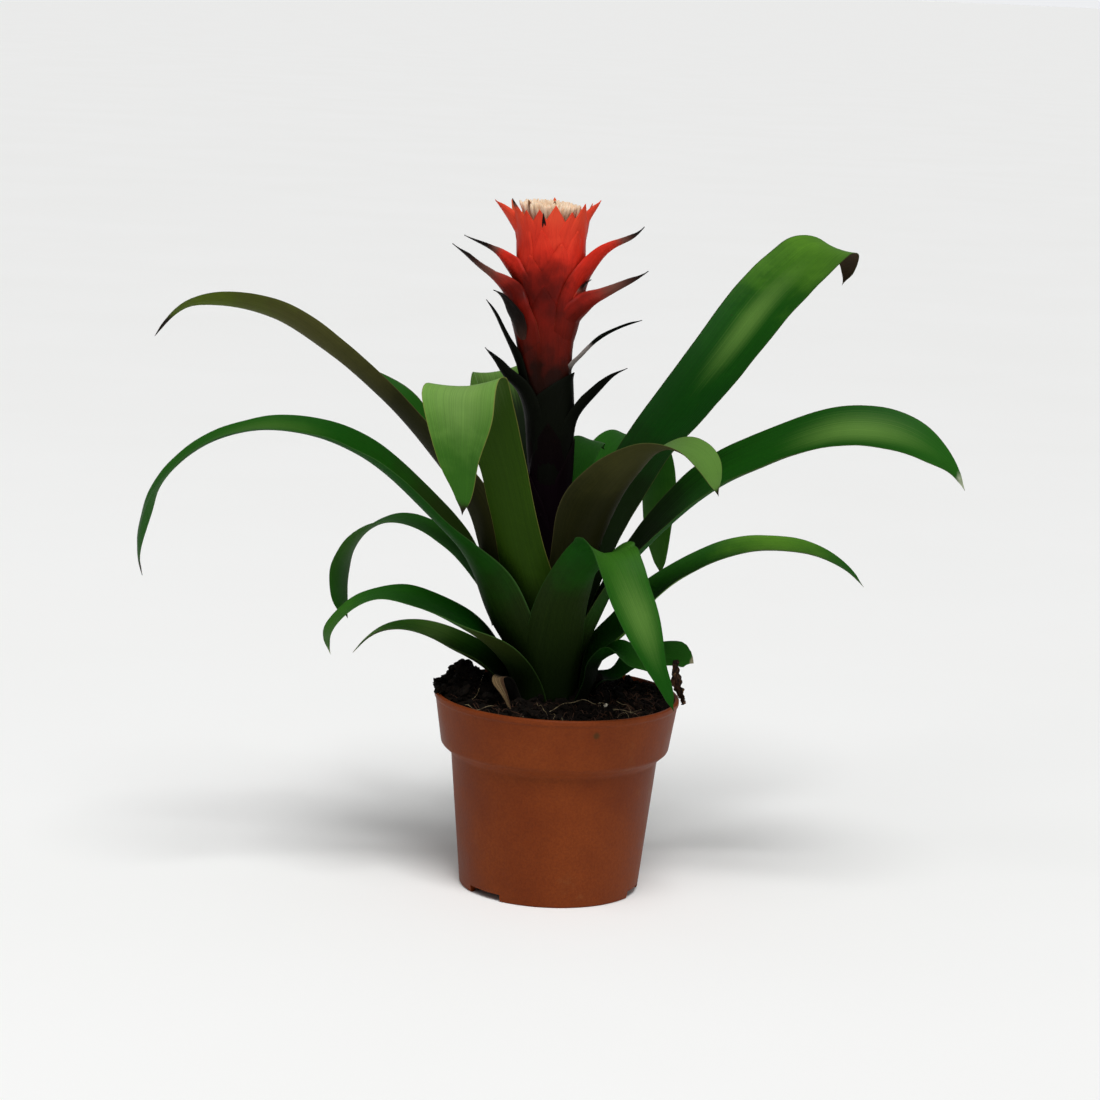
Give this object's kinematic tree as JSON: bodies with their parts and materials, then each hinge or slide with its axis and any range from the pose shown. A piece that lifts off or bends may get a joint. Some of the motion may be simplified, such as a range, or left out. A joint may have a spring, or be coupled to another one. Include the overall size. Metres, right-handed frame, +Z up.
{
  "type": "potted guzmania",
  "caption": "Bromeliad with a rosette of long arching strap leaves and a red-bracted flower head, growing in peat in a round terracotta-coloured nursery pot",
  "frame": {"origin": "centre of the pot's flat underside, which rests on the surface", "axes": "+Z up along the pot's axis, +X to the right and +Y to the back as seen in the front view, so the front is -Y"},
  "size_m": [0.3878, 0.2153, 0.3377],
  "materials": {
    "pot": "satin",
    "soil": "matte",
    "leaf": "satin",
    "dry_leaf": "matte",
    "dark_bract": "satin",
    "red_bract": "satin",
    "floret": "matte"
  },
  "bodies": {
    "root": {"pot": "pot", "soil": "soil", "leaf_left_high": "leaf", "leaf_left_arch": "leaf", "leaf_back_left_curl": "leaf", "leaf_left_low": "leaf", "leaf_left_lowest": "leaf", "leaf_front_left_folded": "leaf", "leaf_back_high": "leaf", "leaf_front_right_bent": "leaf", "leaf_right_high": "leaf", "leaf_right_long": "leaf", "leaf_right_low": "leaf", "leaf_back_right_hanging": "leaf", "leaf_back_short": "leaf", "leaf_front_folded": "leaf", "leaf_right_curl": "leaf", "leaf_right_under": "leaf", "leaf_back_low": "leaf", "leaf_back_left_low": "leaf", "leaf_back_lowest": "leaf", "leaf_dry_scale": "dry_leaf", "flower_stem": "dark_bract", "flower_head": "red_bract", "florets": "floret"}
  },
  "joints": []
}
